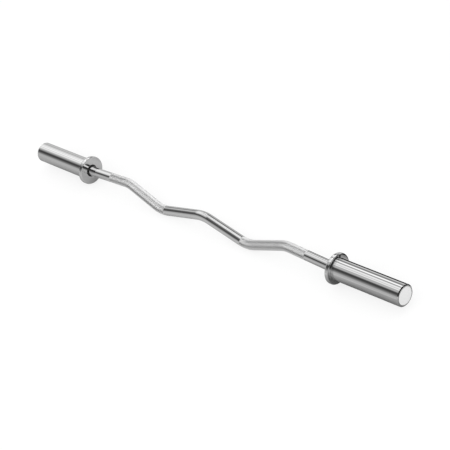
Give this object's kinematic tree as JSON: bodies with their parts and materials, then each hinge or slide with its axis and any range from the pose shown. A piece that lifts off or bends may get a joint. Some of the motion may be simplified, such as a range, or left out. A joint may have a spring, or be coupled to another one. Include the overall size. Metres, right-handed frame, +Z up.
{
  "type": "ez curl bar",
  "caption": "Chromed W-bent curl bar with knurled grips, free-spinning plate sleeves on bushes, round collars and capped ends",
  "frame": {"origin": "the middle of the bar, on the common axis of the two sleeves", "axes": "+X along the sleeves to the right-hand end, +Z up, +Y to the back; the bar lies on a floor on its two collars and the two low bends of its shaft, which lean to the front"},
  "size_m": [1.2, 0.071, 0.071],
  "materials": {
    "knurled_chrome": "hard chrome over steel, polished, with knurled grips",
    "polished_chrome": "bright polished chrome over steel",
    "seal_rubber": "black nitrile rubber",
    "bush_bronze": "oiled sintered bronze",
    "plain_steel": "ground steel",
    "cap_plastic": "moulded black plastic",
    "label_white": "white laminated film, bare"
  },
  "bodies": {
    "shaft": {"shaft": "knurled_chrome", "left_inner_thrust_washer": "plain_steel", "left_outer_thrust_washer": "plain_steel", "left_retaining_ring": "plain_steel", "right_inner_thrust_washer": "plain_steel", "right_outer_thrust_washer": "plain_steel", "right_retaining_ring": "plain_steel"},
    "left_sleeve_unit": {"left_sleeve": "polished_chrome", "left_collar": "polished_chrome", "left_dust_seal": "seal_rubber", "left_inner_bush": "bush_bronze", "left_outer_bush": "bush_bronze", "left_end_cap": "cap_plastic", "left_end_label": "label_white"},
    "right_sleeve_unit": {"right_sleeve": "polished_chrome", "right_collar": "polished_chrome", "right_dust_seal": "seal_rubber", "right_inner_bush": "bush_bronze", "right_outer_bush": "bush_bronze", "right_end_cap": "cap_plastic", "right_end_label": "label_white"}
  },
  "joints": [
    {"name": "left_sleeve_spin", "type": "hinge", "parent": "shaft", "child": "left_sleeve_unit", "pos_m": [-0.508, 0, 0], "axis": [1, 0, 0], "continuous": true},
    {"name": "right_sleeve_spin", "type": "hinge", "parent": "shaft", "child": "right_sleeve_unit", "pos_m": [0.508, 0, 0], "axis": [1, 0, 0], "continuous": true}
  ]
}
